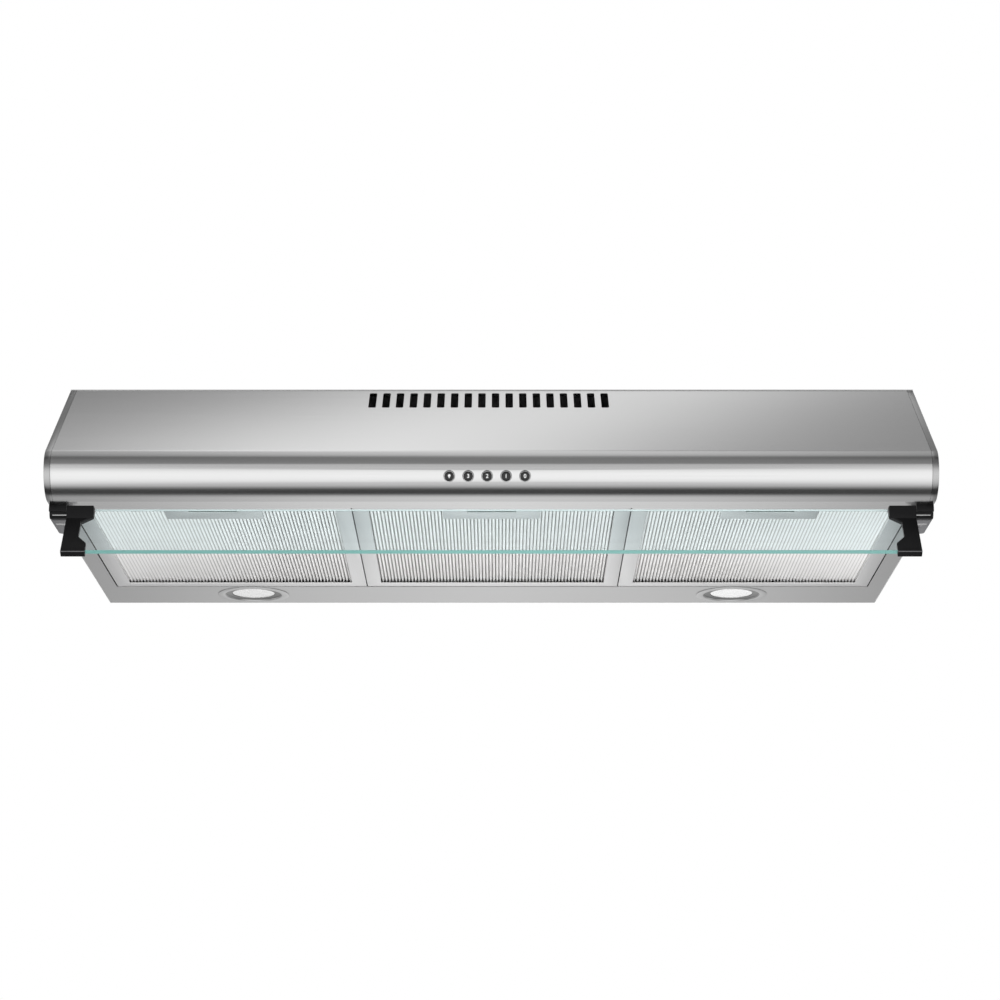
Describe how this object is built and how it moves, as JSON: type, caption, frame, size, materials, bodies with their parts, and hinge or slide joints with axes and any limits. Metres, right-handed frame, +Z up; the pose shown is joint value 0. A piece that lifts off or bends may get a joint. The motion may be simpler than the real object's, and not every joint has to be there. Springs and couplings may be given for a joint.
{
  "type": "range hood",
  "caption": "Visor range hood with sloping front, rounded nose with push buttons, folding glass visor, pleated grease filters, lamps and a ducted blower.",
  "frame": {"origin": "centre of the cabinet screw holes, on the upper face of the top panel", "axes": "+Z up out of the top panel, +Y towards the wall, +X along the width to the right seen from the front"},
  "size_m": [0.898, 0.5113, 0.2552],
  "materials": {
    "brushed_front": "brushed along the width",
    "brushed_pan": "brushed along the width",
    "shell_metal": "satin silver paint",
    "cap_silver": "silver lacquer",
    "filter_aluminium": "bright rolled",
    "mesh_aluminium": "pleated expanded mesh",
    "latch_grey": "fine grain",
    "bracket_grey": "textured grey",
    "black_plastic": "fine grain",
    "visor_clear": "clear, ground edges",
    "button_chrome": "polished",
    "bezel_satin": "satin",
    "lens_white": "frosted",
    "lamp_metal": "bare",
    "zinc_sheet": "galvanised",
    "motor_iron": "varnished laminations",
    "bare_steel": "zinc plated",
    "bush_brass": "sintered bronze",
    "wheel_plastic": "moulded",
    "duct_grey": "moulded",
    "box_white": "moulded"
  },
  "bodies": {
    "hood": {"front_panel": "brushed_front", "bottom_pan": "brushed_pan", "body_shell": "shell_metal", "end_cap_left": "cap_silver", "end_cap_right": "cap_silver", "filter_frame_left": "filter_aluminium", "filter_frame_middle": "filter_aluminium", "filter_frame_right": "filter_aluminium", "filter_handle_left": "filter_aluminium", "filter_handle_middle": "filter_aluminium", "filter_handle_right": "filter_aluminium", "filter_mesh_left": "mesh_aluminium", "filter_mesh_middle": "mesh_aluminium", "filter_mesh_right": "mesh_aluminium", "hinge_bracket_left": "bracket_grey", "hinge_bracket_right": "bracket_grey", "hinge_barrel_left": "black_plastic", "hinge_barrel_right": "black_plastic", "cable_gland": "black_plastic", "switch_block": "black_plastic", "lamp_bezel_left": "bezel_satin", "lamp_bezel_right": "bezel_satin", "lamp_lens_left": "lens_white", "lamp_lens_right": "lens_white", "lamp_cup_left": "lamp_metal", "lamp_cup_right": "lamp_metal", "lamp_board_left": "lamp_metal", "lamp_board_right": "lamp_metal", "blower_band": "zinc_sheet", "blower_side_left": "zinc_sheet", "blower_side_right": "zinc_sheet", "motor_bracket": "zinc_sheet", "switch_bracket": "zinc_sheet", "motor_can": "zinc_sheet", "motor_stator": "motor_iron", "hinge_pins": "bare_steel", "screws": "bare_steel", "shaft_bushes": "bush_brass", "duct_collar": "duct_grey", "terminal_box": "box_white", "terminal_lid": "box_white", "capacitor": "box_white"},
    "visor": {"visor_arm_left": "black_plastic", "visor_arm_right": "black_plastic", "visor_glass": "visor_clear"},
    "fan": {"motor_shaft": "bare_steel", "motor_rotor": "motor_iron", "impeller_left": "wheel_plastic", "impeller_right": "wheel_plastic"},
    "flap_front_body": {"flap_front": "duct_grey"},
    "flap_rear_body": {"flap_rear": "duct_grey"},
    "button_lamp_body": {"button_lamp": "button_chrome"},
    "button_three_body": {"button_three": "button_chrome"},
    "button_two_body": {"button_two": "button_chrome"},
    "button_one_body": {"button_one": "button_chrome"},
    "button_zero_body": {"button_zero": "button_chrome"},
    "latch_left_body": {"filter_latch_left": "latch_grey"},
    "latch_middle_body": {"filter_latch_middle": "latch_grey"},
    "latch_right_body": {"filter_latch_right": "latch_grey"}
  },
  "joints": [
    {"name": "visor_hinge", "type": "hinge", "parent": "hood", "child": "visor", "pos_m": [0, -0.2783, -0.1615], "axis": [1, 0, 0], "range_deg": [0, 127]},
    {"name": "button_lamp_press", "type": "slide", "parent": "hood", "child": "button_lamp_body", "axis": [0, 0.9272, 0.3746], "range_m": [0, 0.004], "stiffness_N_per_m": 500},
    {"name": "button_three_press", "type": "slide", "parent": "hood", "child": "button_three_body", "axis": [0, 0.9272, 0.3746], "range_m": [0, 0.004], "stiffness_N_per_m": 500},
    {"name": "button_two_press", "type": "slide", "parent": "hood", "child": "button_two_body", "axis": [0, 0.9272, 0.3746], "range_m": [0, 0.004], "stiffness_N_per_m": 500},
    {"name": "button_one_press", "type": "slide", "parent": "hood", "child": "button_one_body", "axis": [0, 0.9272, 0.3746], "range_m": [0, 0.004], "stiffness_N_per_m": 500},
    {"name": "button_zero_press", "type": "slide", "parent": "hood", "child": "button_zero_body", "axis": [0, 0.9272, 0.3746], "range_m": [0, 0.004], "stiffness_N_per_m": 500},
    {"name": "latch_left_pull", "type": "slide", "parent": "hood", "child": "latch_left_body", "axis": [0, 1, 0], "range_m": [0, 0.005], "stiffness_N_per_m": 400},
    {"name": "latch_middle_pull", "type": "slide", "parent": "hood", "child": "latch_middle_body", "axis": [0, 1, 0], "range_m": [0, 0.005], "stiffness_N_per_m": 400},
    {"name": "latch_right_pull", "type": "slide", "parent": "hood", "child": "latch_right_body", "axis": [0, 1, 0], "range_m": [0, 0.005], "stiffness_N_per_m": 400},
    {"name": "fan_spin", "type": "hinge", "parent": "hood", "child": "fan", "pos_m": [0, 0.057, -0.086], "axis": [1, 0, 0], "continuous": true},
    {"name": "flap_front_lift", "type": "hinge", "parent": "hood", "child": "flap_front_body", "pos_m": [0, 0.0595, 0.022], "axis": [-1, 0, 0], "range_deg": [0, 80]},
    {"name": "flap_rear_lift", "type": "hinge", "parent": "hood", "child": "flap_rear_body", "pos_m": [0, 0.0665, 0.022], "axis": [1, 0, 0], "range_deg": [0, 80]}
  ]
}
